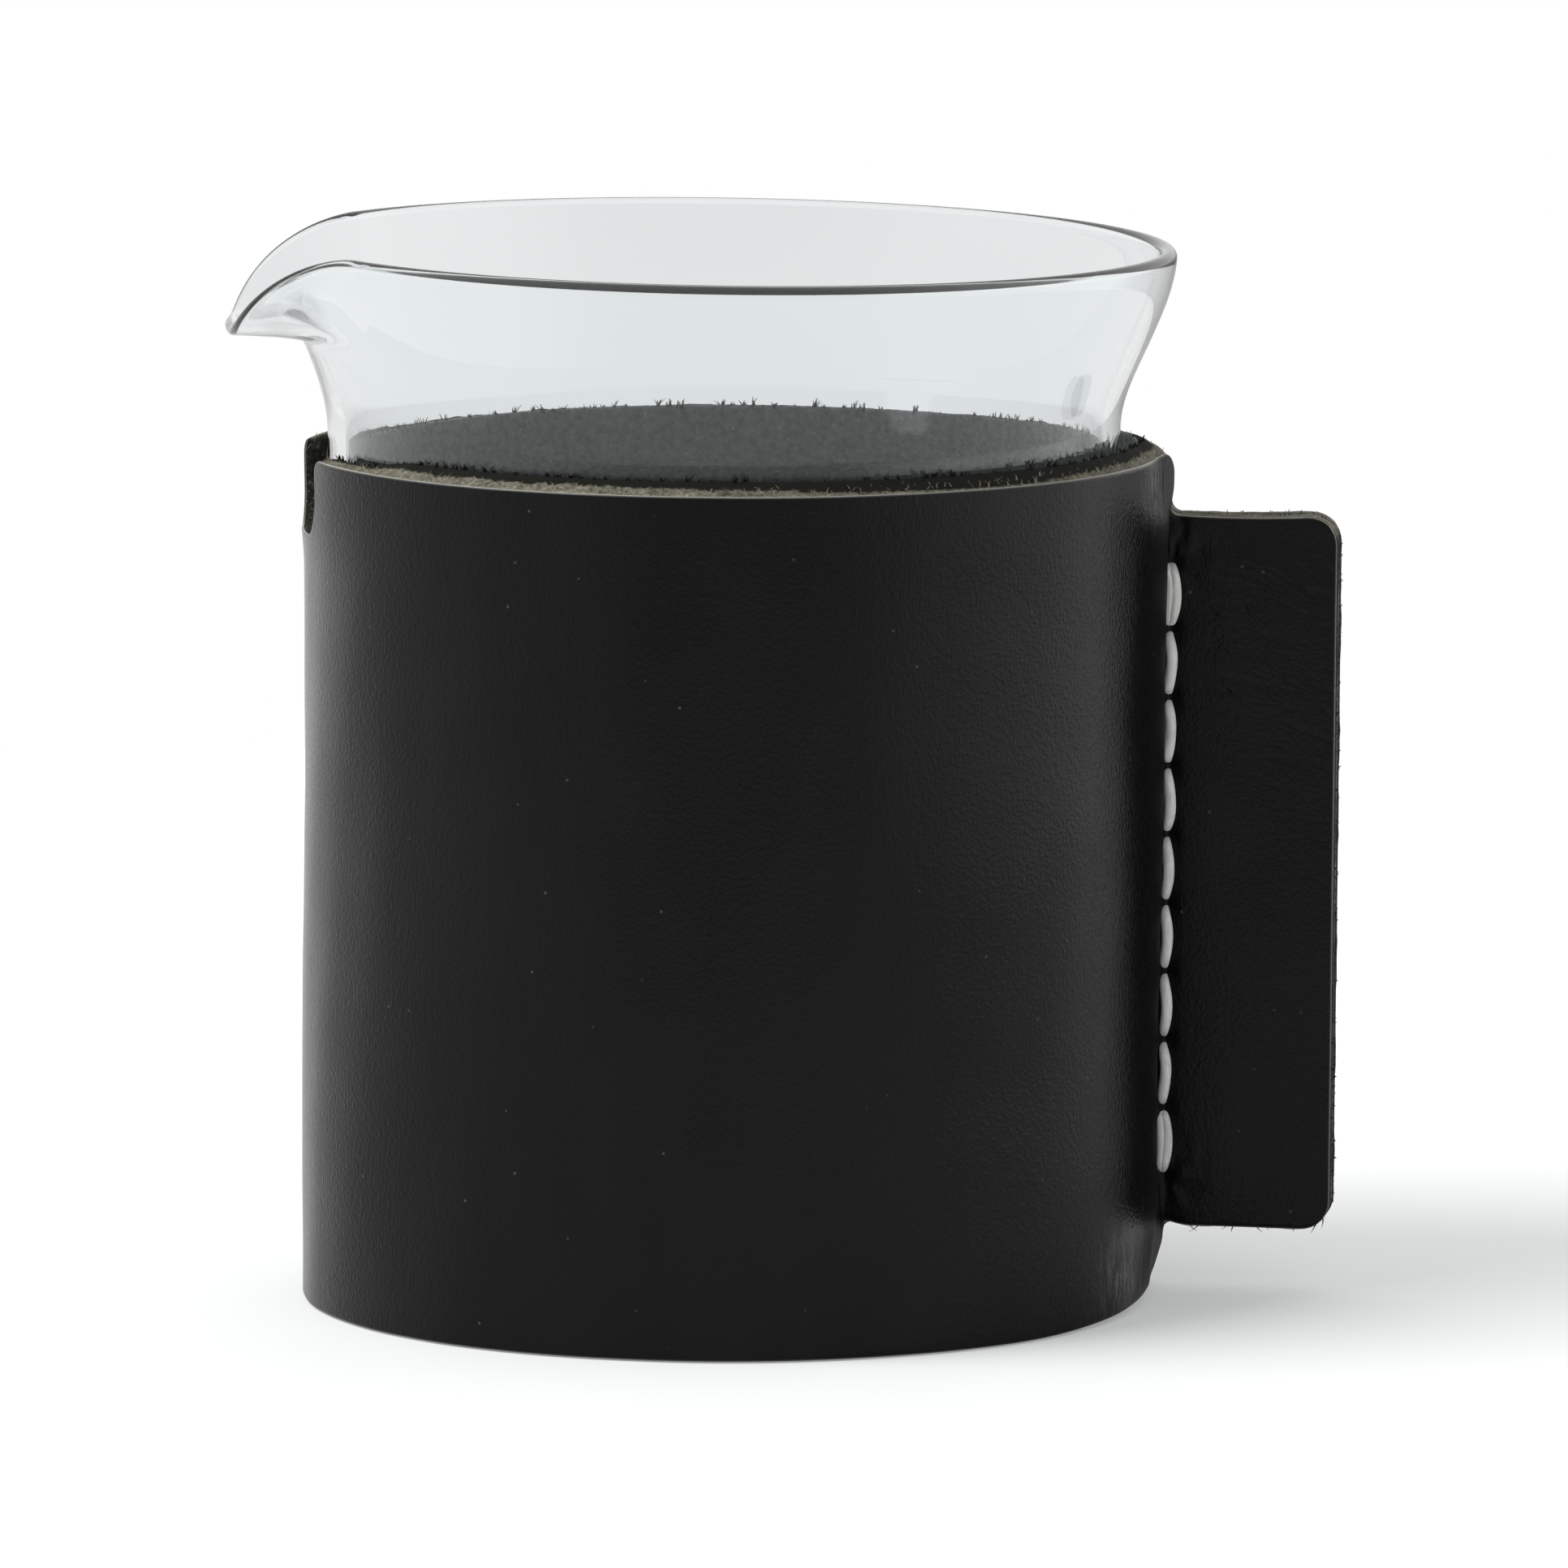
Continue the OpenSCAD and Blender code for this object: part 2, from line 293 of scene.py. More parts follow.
def ripple(u, z, seed, size, count=7):
    """Uneven surface between about -1 and 1: a sum of sine waves in seeded directions and lengths
    about a size, in the strip's flat coordinates."""
    dice = np.random.default_rng(seed)
    angle = dice.uniform(0.0, np.pi, count)
    wave = 2.0 * np.pi / (size * dice.uniform(0.6, 1.6, count))
    phase = dice.uniform(0.0, 2.0 * np.pi, count)
    total = np.zeros(np.broadcast(u, z).shape)
    for k in range(count):
        total = total + np.sin(wave[k] * (u * np.cos(angle[k]) + z * np.sin(angle[k])) + phase[k])
    return total / np.sqrt(count)


swell_reach = 9.0
swell_low = 0.1
swell_high = 0.95
swell_full = 80.0
tip_reach = 9.0
tip_x = 45.15
tip_half_gap = 0.15
tip_way = (0.34, -0.94)
plan_step = 0.05
plan_easing = 0.25
tip_easing = 0.5


def plan_curve(u, swell_height):
    """Grain side seen from above, at a length u along the strip from the notch: on the sleeve's
    circle, then on the fold's circle, then along the leaf. The leather swells by a bell curve beside
    the fold. Positive u goes by the front to the front leaf, negative u by the back."""
    leaf = leaf_of(u)
    sign = leaf_sign[leaf]
    length = np.abs(u)
    ring = on_circle(ring_angle(u, ring_end[leaf]))
    turn = on_circle(fold_turn[leaf] + np.pi + sign * (length - ring_end[leaf]) / fold_radius)
    along = (leaf_start[leaf] + length - fold_end[leaf])[:, None]
    flat = handle_root + along * leaf_along + (sign * half_handle)[:, None] * leaf_across
    folded = np.where((length > fold_end[leaf])[:, None], flat, fold_middle[leaf] + crease * turn)
    point = np.where((length > ring_end[leaf])[:, None], folded, outer_radius * ring)
    swell = bell(np.clip(ring_end[leaf] - length, 0.0, None) / swell_reach)
    swell = swell * (1.0 - smooth_step((length - ring_end[leaf]) / (fold_end - ring_end)[leaf]))
    return point + swell_height * swell[:, None] * ring


def tip_curve(u):
    """Grain side seen from above, over and under the handle: the strip leaves the sleeve's circle
    for a cubic curve to a tip, where its two ends lie against each other, and a straight beyond."""
    leaf = leaf_of(u)
    sign = leaf_sign[leaf]
    leave = ring_end[leaf] - tip_reach
    span = shoulder[leaf] - leave
    share = np.clip((np.abs(u) - leave) / span, 0.0, None)[:, None]
    further = np.clip(share - 1.0, 0.0, None)
    share = np.minimum(share, 1.0)
    ring = ring_angle(u, leave)
    start = outer_radius * on_circle(ring)
    start_way = span[:, None] * np.stack([sign * np.sin(ring), -sign * np.cos(ring)], axis=-1)
    end = np.stack([np.full_like(sign, tip_x), sign * tip_half_gap], axis=-1)
    end_way = span[:, None] * np.stack([np.full_like(sign, tip_way[0]), tip_way[1] * sign], axis=-1)
    square = share ** 2
    cube = share ** 3
    return ((2.0 * cube - 3.0 * square + 1.0) * start + (cube - 2.0 * square + share) * start_way
            + (3.0 * square - 2.0 * cube) * end + (cube - square + further) * end_way)


def eased(points, width):
    """A curve's points averaged over a bell of a width in millimetres, its ends kept, and beside them
    the unit directions across it."""
    reach = int(3.0 * width / plan_step)
    weight = np.exp(-(np.arange(-reach, reach + 1) * plan_step / width) ** 2 / 2.0)
    first = np.repeat(points[:1], reach, axis=0)
    last = np.repeat(points[-1:], reach, axis=0)
    ends = np.concatenate([first, points, last])
    weight = weight / weight.sum()
    points = np.stack([np.convolve(ends[:, k], weight, "valid") for k in range(2)], axis=-1)
    return np.concatenate([points, right_of(points)], axis=1)


def right_of(points):
    """Unit direction across a curve: its way turned a quarter clockwise."""
    way = np.gradient(points, axis=0)
    way = way / np.linalg.norm(way, axis=1, keepdims=True)
    return np.stack([way[:, 1], -way[:, 0]], axis=-1)


plan_u = np.arange(-strip_end[0] - 1.0, strip_end[1] + 1.0, plan_step)
slim_plan = eased(plan_curve(plan_u, swell_low), plan_easing)
full_plan = eased(plan_curve(plan_u, swell_high), plan_easing)
tip_plan = eased(tip_curve(plan_u), tip_easing)
root_inset = 0.45
root_top = 75.0
stitch_pull = 0.55
tip_low = 7.5
tip_high = 78.5
tip_run = 4.0
tuck_depth = 0.7
tuck_reach = 22.0
tuck_height = 9.0
corner_rise = 1.6
corner_reach = 34.0
corner_height = 12.0
edge_lift = 0.2
edge_fall = 0.6
sag_depth = 0.18
sag_length = 15.0
press_depth = 0.14
press_width = 18.0
handle_twist = np.radians(2.2)
twist_low = 1.9
twist_run = 43.0


def root_shift(z):
    """How far the handle's root lies nearer the axis below than above, by a straight line."""
    return -root_inset * (1.0 - z / root_top)


def stitch_line(z):
    """Place of the stitches along the handle: pulled into the fold, more so below than above."""
    return stitch_along - stitch_pull + root_shift(z)


def read_curve(curve, u):
    """Points of a curve over the plan's lengths and directions across it, read off at any lengths."""
    return np.stack([np.interp(u, plan_u, column) for column in curve.T], axis=-1)


def below_notch(u, z, width):
    """Share of the stretched leather below the notch: a bell of a width in length, and smooth steps
    in height from the lower part of the sleeve to the notch."""
    return bell(u / width) * smooth_step((z - 18.0) / 36.0) * smooth_step((83.0 - z) / 9.0)


def strip_place(u, z, depth):
    """Place in space of a point of the strip: its length, height and depth below the grain side.
    Over and under the handle the fold opens into a tip. The hand-wrapped leather is a little uneven,
    pressed in below the notch, tucks in and rises at the bottom towards the handle, and its top edge
    falls a little that way. The handle is twisted about its root, more so below than above."""
    leaf = leaf_of(u)
    length = np.abs(u)
    to_fold = ring_end[leaf] - length
    past_fold = length - fold_end[leaf]
    tip = np.maximum(smooth_step((z - tip_high) / tip_run), smooth_step((tip_low - z) / tip_run))
    tip = (tip * (1.0 - smooth_step((length - shoulder[leaf] - 0.3) / 2.5)))[..., None]
    full = np.clip(z / swell_full, 0.0, 1.0)[..., None]
    plan = read_curve(slim_plan, u)
    plan = plan + full * (read_curve(full_plan, u) - plan)
    plan = plan + tip * (read_curve(tip_plan, u) - plan)
    out = plan[..., 2:] / np.linalg.norm(plan[..., 2:], axis=-1, keepdims=True)
    ring = on_circle(ring_angle(u, ring_end[leaf]))
    inset = root_shift(z) * smooth_step(1.0 - to_fold / 6.0)
    tuck = tuck_depth * smooth_step(1.0 - to_fold / tuck_reach) * (1.0 - smooth_step(z / tuck_height))
    tuck = tuck * (1.0 - smooth_step(past_fold / 4.0))
    rise = corner_rise * np.clip(1.0 - to_fold / corner_reach, 0.0, 1.0) ** 1.6
    rise = rise * np.clip(1.0 - z / corner_height, 0.0, 1.0)
    rise = rise * (1.0 - smooth_step((past_fold + 2.0) / 5.0))
    slope = edge_lift - edge_fall * np.clip(length / ring_end[leaf], 0.0, 1.0) ** 2
    slope = slope * (z / sleeve_height)
    sag = sag_depth * np.sin(np.pi * np.clip(past_fold / sag_length, 0.0, 1.0))
    sag = sag * smooth_step((z - 60.0) / 18.0)
    uneven = 0.10 * ripple(u, z, 3, 34.0) + 0.03 * ripple(u, z, 4, 11.0)
    uneven = uneven - press_depth * below_notch(u, z, press_width)
    twist = handle_twist * (twist_low - z / twist_run) * np.clip(past_fold, 0.0, None)
    xy = plan[..., :2] + (uneven - depth)[..., None] * out
    xy = xy - tuck[..., None] * ring - twist[..., None] * leaf_across
    return np.stack([xy[..., 0] + sleeve_shift + inset, xy[..., 1], z + rise + slope - sag], axis=-1)


notch_flat = 4.3
notch_round = 4.5
notch_floor = 78.0
notch_side = notch_flat + notch_round
notch_lip = 1.4
notch_end = notch_side + notch_lip
shoulder_round = np.array([5.6, 2.5])
foot_round = 5.2
nook = 1.2
turn_run = 5.0
handle_corner = 3.0
half_corner = 2.356
corner_gaps = np.array([2.36, 1.8, 1.3, 0.85, 0.5, 0.2, 0.08, 0.0])
end_gaps = np.array([3.0, 2.2, 1.5, 0.9, 0.5, 0.2, 0.08, 0.0])
edge_offsets = np.array([0.0, 0.08, 0.2, 0.5])
middle_low = 14.0
middle_high = sleeve_height - middle_low
middle_rows = 60
side_rows = 11


def straight(start, end, share):
    """Points on a straight run of the outline, at shares of its length."""
    return np.array(start) + share[:, None] * (np.array(end) - np.array(start))


def round_run(middle, radius, start, end, share):
    """Points on a round run of the outline, between two angles in degrees."""
    return np.array(middle) + radius * on_circle(np.radians(start + share * (end - start)))


def steps(count):
    """Shares from 0 up to but not including 1, evenly spaced."""
    return np.arange(count) / count


def half_outline(leaf):
    """Flat outline of half the strip, from the notch's middle to the leaf's end: its top edge, its
    bottom edge, and the lengths at middle height that the columns between them go through."""
    turn = shoulder[leaf]
    leaf_root = turn + nook
    leaf_tip = strip_end[leaf] - handle_corner
    round_start = turn - shoulder_round[0]
    foot_start = turn - foot_round
    round_low = sleeve_height - shoulder_round[1]
    wrap = 1.0 - (1.0 - steps(112)) ** 1.3
    out = steps(30) ** 1.4
    corner = 1.0 - corner_gaps / corner_gaps[0]
    top = np.concatenate([
        straight((0.0, notch_floor), (notch_flat, notch_floor), steps(4)),
        round_run((notch_flat, notch_floor + notch_round), notch_round, -90.0, 0.0, steps(12)),
        straight((notch_side, notch_floor + notch_round), (notch_side, sleeve_height - notch_lip), steps(4)),
        round_run((notch_end, sleeve_height - notch_lip), notch_lip, 180.0, 90.0, steps(6)),
        straight((notch_end, sleeve_height), (round_start, sleeve_height), wrap),
        round_run((round_start, round_low), shoulder_round, 90.0, 0.0, steps(12)),
        straight((turn, round_low), (turn, handle_high + nook), steps(8)),
        round_run((leaf_root, handle_high + nook), nook, 180.0, 270.0, steps(8)),
        straight((leaf_root, handle_high), (leaf_tip, handle_high), out),
        round_run((leaf_tip, handle_high - handle_corner), handle_corner, 90.0, 45.0, corner)])
    bottom = np.concatenate([
        straight((0.0, 0.0), (notch_end, 0.0), steps(26)),
        straight((notch_end, 0.0), (foot_start, 0.0), wrap),
        round_run((foot_start, foot_round), foot_round, -90.0, 0.0, steps(18)),
        straight((turn, foot_round), (turn, handle_low - nook), steps(2)),
        round_run((leaf_root, handle_low - nook), nook, 180.0, 90.0, steps(8)),
        straight((leaf_root, handle_low), (leaf_tip, handle_low), out),
        round_run((leaf_tip, handle_low + handle_corner), handle_corner, -90.0, -45.0, corner)])
    between = np.concatenate([
        notch_end * steps(26), notch_end + (turn - turn_run - notch_end) * wrap,
        turn - turn_run + (turn_run + nook) * steps(28), leaf_root + (leaf_tip - leaf_root) * out,
        strip_end[leaf] - end_gaps])
    return top, bottom, between


def end_outline(leaf):
    """Outline of a leaf's cut end, from its lower corner to its upper one, at the rows' places."""
    middle = (strip_end[leaf] - handle_corner, handle_low + handle_corner)
    low = round_run(middle, handle_corner, 0.0, 1.0, np.degrees(edge_offsets / handle_corner) - 45.0)
    rest = np.linspace(edge_offsets[-1], half_corner + middle_low - middle[1], side_rows)[1:-1]
    on_arc = np.degrees(np.minimum(rest, half_corner) / handle_corner) - 45.0
    on_arc = round_run(middle, handle_corner, 0.0, 1.0, on_arc)
    on_arc[:, 1] += np.maximum(rest - half_corner, 0.0)
    upright = np.linspace(middle_low, middle_high, middle_rows)
    upright = np.stack([np.full(middle_rows, strip_end[leaf]), upright], axis=-1)
    lower = np.concatenate([low, on_arc])
    upper = lower[::-1] * [1.0, -1.0] + [0.0, sleeve_height]
    return np.concatenate([lower, upright, upper])


def half_grid(leaf):
    """Flat points of half the strip, rows from bottom to top. Rows close to an edge are offset from
    it, columns run straight to them from middle height, and the last columns follow the end."""
    top, bottom, between = half_outline(leaf)
    reach = edge_offsets[:, None, None]
    low = bottom - reach * right_of(bottom)
    high = (top + reach * right_of(top))[::-1]
    line = np.stack([between, np.zeros_like(between)], axis=-1)
    share = np.linspace(0.0, 1.0, side_rows)[1:-1, None, None]
    low_middle = low[-1] + share * (line + [0.0, middle_low] - low[-1])
    high_middle = line + [0.0, middle_high] + share * (high[0] - line - [0.0, middle_high])
    upright = np.linspace(middle_low, middle_high, middle_rows)
    middle = line + np.stack([np.zeros(middle_rows), upright], axis=-1)[:, None, :]
    flat = np.concatenate([low, low_middle, middle, high_middle, high])
    near_end = smooth_step(1.0 - (between[-1] - between) / 5.0)[None, :, None]
    return flat + near_end * (end_outline(leaf)[:, None, :] - flat[:, -1:, :])


grain_round = 0.25
flesh_round = 0.2
crease_height = 0.04
crease_high = 3.5
crease_low = 8.0
gather_height = 0.20
dent_depth = 0.5
groove_depth = 0.2
thinning = 0.36
thinning_width = 20.0
slant_start = np.array([9.5, 14.0])
slant_run = np.array([42.0, 14.0])
slant_most = np.array([0.85, 1.25])


def round_depth(row_gap, column_gap, radius):
    """How far an edge's round takes the surface down at distances from the two nearest edges: the
    sagitta of a circle, and of a ball in the corners."""
    a = np.clip(radius - row_gap, 0.0, None)
    b = np.clip(radius - column_gap, 0.0, None)
    return radius - np.sqrt(np.clip(radius ** 2 - a ** 2 - b ** 2, 0.0, None))


def bent_share(u, z, high_place, low_place):
    """How hard the leather is bent, from 0 to 1: bells in length and smooth steps in height on the
    sleeve's four corners beside the handle, at places before the fold above and below."""
    to_fold = ring_end[leaf_of(u)] - np.abs(u)
    high = bell((to_fold - high_place) / 4.5) * smooth_step((z - 78.0) / 5.0)
    low = bell((to_fold - low_place) / 4.5) * smooth_step((11.0 - z) / 6.0) * smooth_step((z + 1.0) / 4.0)
    return np.maximum(high, low)


def gathers(along, z, hole):
    """Gathers that run out from the first or last stitch hole: a wave round the hole that fades by a
    bell with the distance from it."""
    side = along - stitch_line(hole)
    up = z - hole
    away = np.hypot(side, up)
    wave = np.cos(7.0 * np.arctan2(up, side) + 1.3 * ripple(along, z, 12, 3.5, 5))
    return gather_height * wave * bell(away / 3.6) * smooth_step(away / 1.2)


def grain_relief(u, z):
    """Height of the grain side's own forms: fine creases where the leather is bent, gathers at the
    first and last hole, a dent at each stitch hole with a shallow groove between them, and a bell
    below the notch, where the leather is stretched thinner."""
    leaf = leaf_of(u)
    along = leaf_start[leaf] + np.abs(u) - fold_end[leaf]
    creases = crease_height * bent_share(u, z, crease_high, crease_low) * ripple(u, z * 0.3, 11, 1.4, 9)
    nearest = np.abs(z[..., None] - hole_z).min(axis=-1)
    beside = along - stitch_line(z)
    dent = dent_depth * bell(beside / 0.85) * bell(nearest / 0.8)
    groove = groove_depth * bell(beside / 0.9)
    groove = groove * smooth_step((z - 10.0) / 2.0) * smooth_step((76.0 - z) / 2.0)
    thin = thinning * below_notch(u, z, thinning_width)
    return creases + gathers(along, z, hole_z[0]) + gathers(along, z, hole_z[-1]) - dent - groove - thin


def slant(u, z):
    """How far the slanting top cut rises to the flesh side at a place near it: smooth steps up the
    strip, off the notch and off the sleeve's ends."""
    leaf = leaf_of(u)
    length = np.abs(u)
    on_edge = smooth_step((length - slant_start[leaf]) / slant_run[leaf])
    on_edge = on_edge * (1.0 - smooth_step((length - shoulder[leaf] + 4.5) / 3.5))
    return slant_most[leaf] * on_edge * smooth_step((z - 80.0) / 6.0)


def edge_gaps(count):
    """Distance of each row or column from the nearest edge, where it is one of those close to it."""
    gap = np.full(count, 9.0)
    gap[:len(edge_offsets)] = edge_offsets
    gap[-len(edge_offsets):] = edge_offsets[::-1]
    return gap


back_half = half_grid(0)[:, :0:-1] * [-1.0, 1.0]
strip_flat = np.concatenate([back_half, half_grid(1)], axis=1)
strip_u = strip_flat[..., 0]
strip_z = strip_flat[..., 1]
strip_rows, strip_columns = strip_u.shape
row_gap = edge_gaps(strip_rows)[:, None]
column_gap = edge_gaps(strip_columns)[None, :]
grain_depth = round_depth(row_gap, column_gap, grain_round) - grain_relief(strip_u, strip_z)
flesh_depth = leather - round_depth(row_gap, column_gap, flesh_round)
flesh_depth = flesh_depth + 0.05 * ripple(strip_u, strip_z, 21, 2.5)
grain_points = strip_place(strip_u, strip_z, grain_depth)
flesh_points = strip_place(strip_u, strip_z + slant(strip_u, strip_z), flesh_depth)

# The cut edge goes once round the outline and joins the grain side to the flesh side in seven loops
number = np.arange(strip_rows * strip_columns).reshape(strip_rows, strip_columns)
rim_loop = np.concatenate([number[0, :-1], number[:-1, -1], number[-1, :0:-1], number[:0:-1, 0]])
rim_flat = strip_flat.reshape(-1, 2)[rim_loop]
rim_way = np.roll(rim_flat, -1, axis=0) - np.roll(rim_flat, 1, axis=0)
rim_way = rim_way / np.linalg.norm(rim_way, axis=1, keepdims=True)
rim_out = np.stack([rim_way[:, 1], -rim_way[:, 0]], axis=-1)
rim_step = np.linalg.norm(rim_flat - np.roll(rim_flat, 1, axis=0), axis=1)
rim_length = np.cumsum(rim_step)
across = np.arange(1, 8)[:, None] / 8.0
cut_depth = grain_round + across * (leather - grain_round - flesh_round)
on_top = np.clip(rim_out[:, 1], 0.0, 1.0) * (rim_flat[:, 1] > 84.0)
on_table = np.clip(-rim_out[:, 1], 0.0, 1.0) * (rim_flat[:, 1] < 3.0)
fibrous = on_top * smooth_step(across / 0.4) * smooth_step((1.0 - across) / 0.2)
rough = 0.03 * ripple(rim_length, cut_depth, 31, 3.0, 9) + 0.04 * ripple(rim_length, cut_depth, 32, 7.0)
stand = 0.10 * np.sin(np.pi * across) + rough
stand = stand + fibrous * (0.08 + 0.08 * ripple(rim_length, cut_depth, 33, 3.0, 9))
stand = stand - 0.26 * on_table * np.sin(np.pi * across)
cut_u = rim_flat[:, 0] + stand * rim_out[:, 0]
cut_z = rim_flat[:, 1] + stand * rim_out[:, 1] + across ** 1.2 * slant(rim_flat[:, 0], rim_flat[:, 1])
cut_points = strip_place(cut_u, cut_z, np.broadcast_to(cut_depth, cut_u.shape))
sheet = strip_rows * strip_columns
cut_numbers = 2 * sheet + np.arange(cut_u.size).reshape(cut_u.shape)
bands = np.concatenate([rim_loop[None], cut_numbers, rim_loop[None] + sheet])
band_quads = bands.reshape(-1)[grid_quads(len(bands), len(rim_loop), close_columns=True)]
sheet_quads = grid_quads(strip_rows, strip_columns)
sleeve_points = np.concatenate([part.reshape(-1, 3) for part in (grain_points, flesh_points, cut_points)])
sleeve_quads = np.concatenate([sheet_quads, sheet_quads[:, ::-1] + sheet, band_quads[:, ::-1]])
sleeve = make_piece("leather_sleeve_wrapped", sleeve_points, sleeve_quads)
surface = np.repeat([0, 2, 1], [len(sheet_quads), len(sheet_quads), len(band_quads)])
sleeve.data.polygons.foreach_set("material_index", surface.astype(np.int32))

# What the leather's finishes read at each point: where it is bent, its pale edge line, the painted top light
# on its cut edge, and the dark layer towards its flesh side with a painted shade
strip_leaf = leaf_of(strip_u)
to_end = strip_end[strip_leaf] - np.abs(strip_u)
from_seam = ring_end[strip_leaf] - np.abs(strip_u) - 1.5
# A pale line along the grain side's rounded edges, fainter near the notch and at the handle's ends
pale_edge = np.clip(1.0 - np.minimum(row_gap, column_gap) / 0.1, 0.0, 1.0)
pale_edge = pale_edge * (0.25 + 0.75 * smooth_step((np.abs(strip_u) - 10.0) / 3.0))
pale_edge = pale_edge * (1.0 - 0.5 * smooth_step(4.0 - to_end))
creased = bent_share(strip_u, strip_z, crease_high, crease_low)
drawn = smooth_step((-from_seam - 7.0) / 5.0) * smooth_step((strip_z - 48.0) / 14.0)
drawn = drawn * smooth_step((77.0 - strip_z) / 5.0)
grain_layers = {
    "bloom_and_painted_sheen": bent_share(strip_u, strip_z, 7.5, 16.5),
    "creased": creased,
    "dulled": np.maximum(creased, 0.9 * bell(from_seam / 8.0)),
    "drawn": drawn,
    "pale_edge": pale_edge}
# Painted top light: a share that rises where the cut edge faces up, away from the notch; the edge is painted
# olive-tan there and darker on its upright faces
top_light = smooth_step((rim_out[:, 1] - 0.15) / 0.45) * smooth_step((np.abs(rim_flat[:, 0]) - 9.5) / 2.0)
top_light_on_sheet = np.zeros(sheet)
top_light_on_sheet[rim_loop] = top_light
# The top cut edge goes black towards the flesh side, and a painted shade blackens more of it by a bell about
# 88 mm along the front
flesh_layer_and_painted_shade = (across + 0.4 * bell((rim_flat[:, 0] - 88.0) / 19.0)) * on_top


def add_layer(piece, name, *parts):
    """Gives each point of a piece a value, from arrays in the order of its points."""
    layer = piece.data.attributes.new(name, "FLOAT", "POINT")
    layer.data.foreach_set("value", np.concatenate([part.reshape(-1) for part in parts]).astype(np.float32))


for layer_name, values in grain_layers.items():
    add_layer(sleeve, layer_name, values, np.zeros(sheet), np.zeros(cut_u.size))
add_layer(sleeve, "painted_top_light", top_light_on_sheet, top_light_on_sheet, np.broadcast_to(top_light, cut_u.shape))
add_layer(sleeve, "depth_share", np.zeros(sheet), np.ones(sheet), flesh_layer_and_painted_shade)


def add_node(owner, kind, **sockets):
    """One shader node with its named inputs set or joined."""
    node = owner.node_tree.nodes.new(kind)
    put_all(owner, node, sockets)
    return node


def ramp(owner, factor, stops):
    """Colour ramp through stops of place and grey or colour."""
    node = add_node(owner, "ShaderNodeValToRGB", Fac=factor)
    elements = node.color_ramp.elements
    while len(elements) < len(stops):
        elements.new(0.5)
    for element, (place, colour) in zip(elements, stops):
        element.position = place
        element.color = colour if isinstance(colour, tuple) else (colour, colour, colour, 1.0)
    return node.outputs["Color"]


def stretched_place(owner, scale=(1.0, 1.0, 1.0)):
    """Object coordinates, scaled on each axis."""
    place = owner.node_tree.nodes.new("ShaderNodeTexCoord")
    return add_node(owner, "ShaderNodeMapping", Vector=place.outputs["Object"], Scale=scale).outputs["Vector"]


def noise(owner, place, scale, detail=2.0, roughness=0.5, distortion=0.0):
    """Cloudy pattern between 0 and 1."""
    return add_node(owner, "ShaderNodeTexNoise", Vector=place, Scale=scale, Detail=detail,
                    Roughness=roughness, Distortion=distortion).outputs["Fac"]


def cells(owner, place, scale):
    """Distance to the nearest of scattered points."""
    return add_node(owner, "ShaderNodeTexVoronoi", Vector=place, Scale=scale).outputs["Distance"]


def layer_value(owner, name):
    """A value that the piece holds at each of its points."""
    node = owner.node_tree.nodes.new("ShaderNodeAttribute")
    node.attribute_name = name
    return node.outputs["Fac"]


def combine(owner, operation, *values):
    """Value of a sum, product or the like of other values."""
    node = owner.node_tree.nodes.new("ShaderNodeMath")
    node.operation = operation
    for k, value in enumerate(values):
        put(owner, node, k, value)
    return node.outputs["Value"]


def masked(owner, name, pattern):
    """A pattern times a value that the piece holds at each of its points."""
    return combine(owner, "MULTIPLY", layer_value(owner, name), pattern)


def blend(owner, share, first, second, way="MIX"):
    """Colour between two colours by a share, or their product."""
    node = owner.node_tree.nodes.new("ShaderNodeMix")
    node.data_type = "RGBA"
    node.blend_type = way
    for socket, value in ((0, share), (6, first), (7, second)):
        put(owner, node, socket, value)
    return node.outputs[2]


def part_way(owner, share, first, second):
    """Value between two values by a share."""
    node = owner.node_tree.nodes.new("ShaderNodeMix")
    for socket, value in ((0, share), (2, first), (3, second)):
        put(owner, node, socket, value)
    return node.outputs[0]


def bumped(owner, height, strength, depth, **under):
    """Normal of a surface that a pattern raises, over the Normal of another bump where given."""
    return add_node(owner, "ShaderNodeBump", Height=height, Strength=strength, Distance=depth,
                    **under).outputs["Normal"]


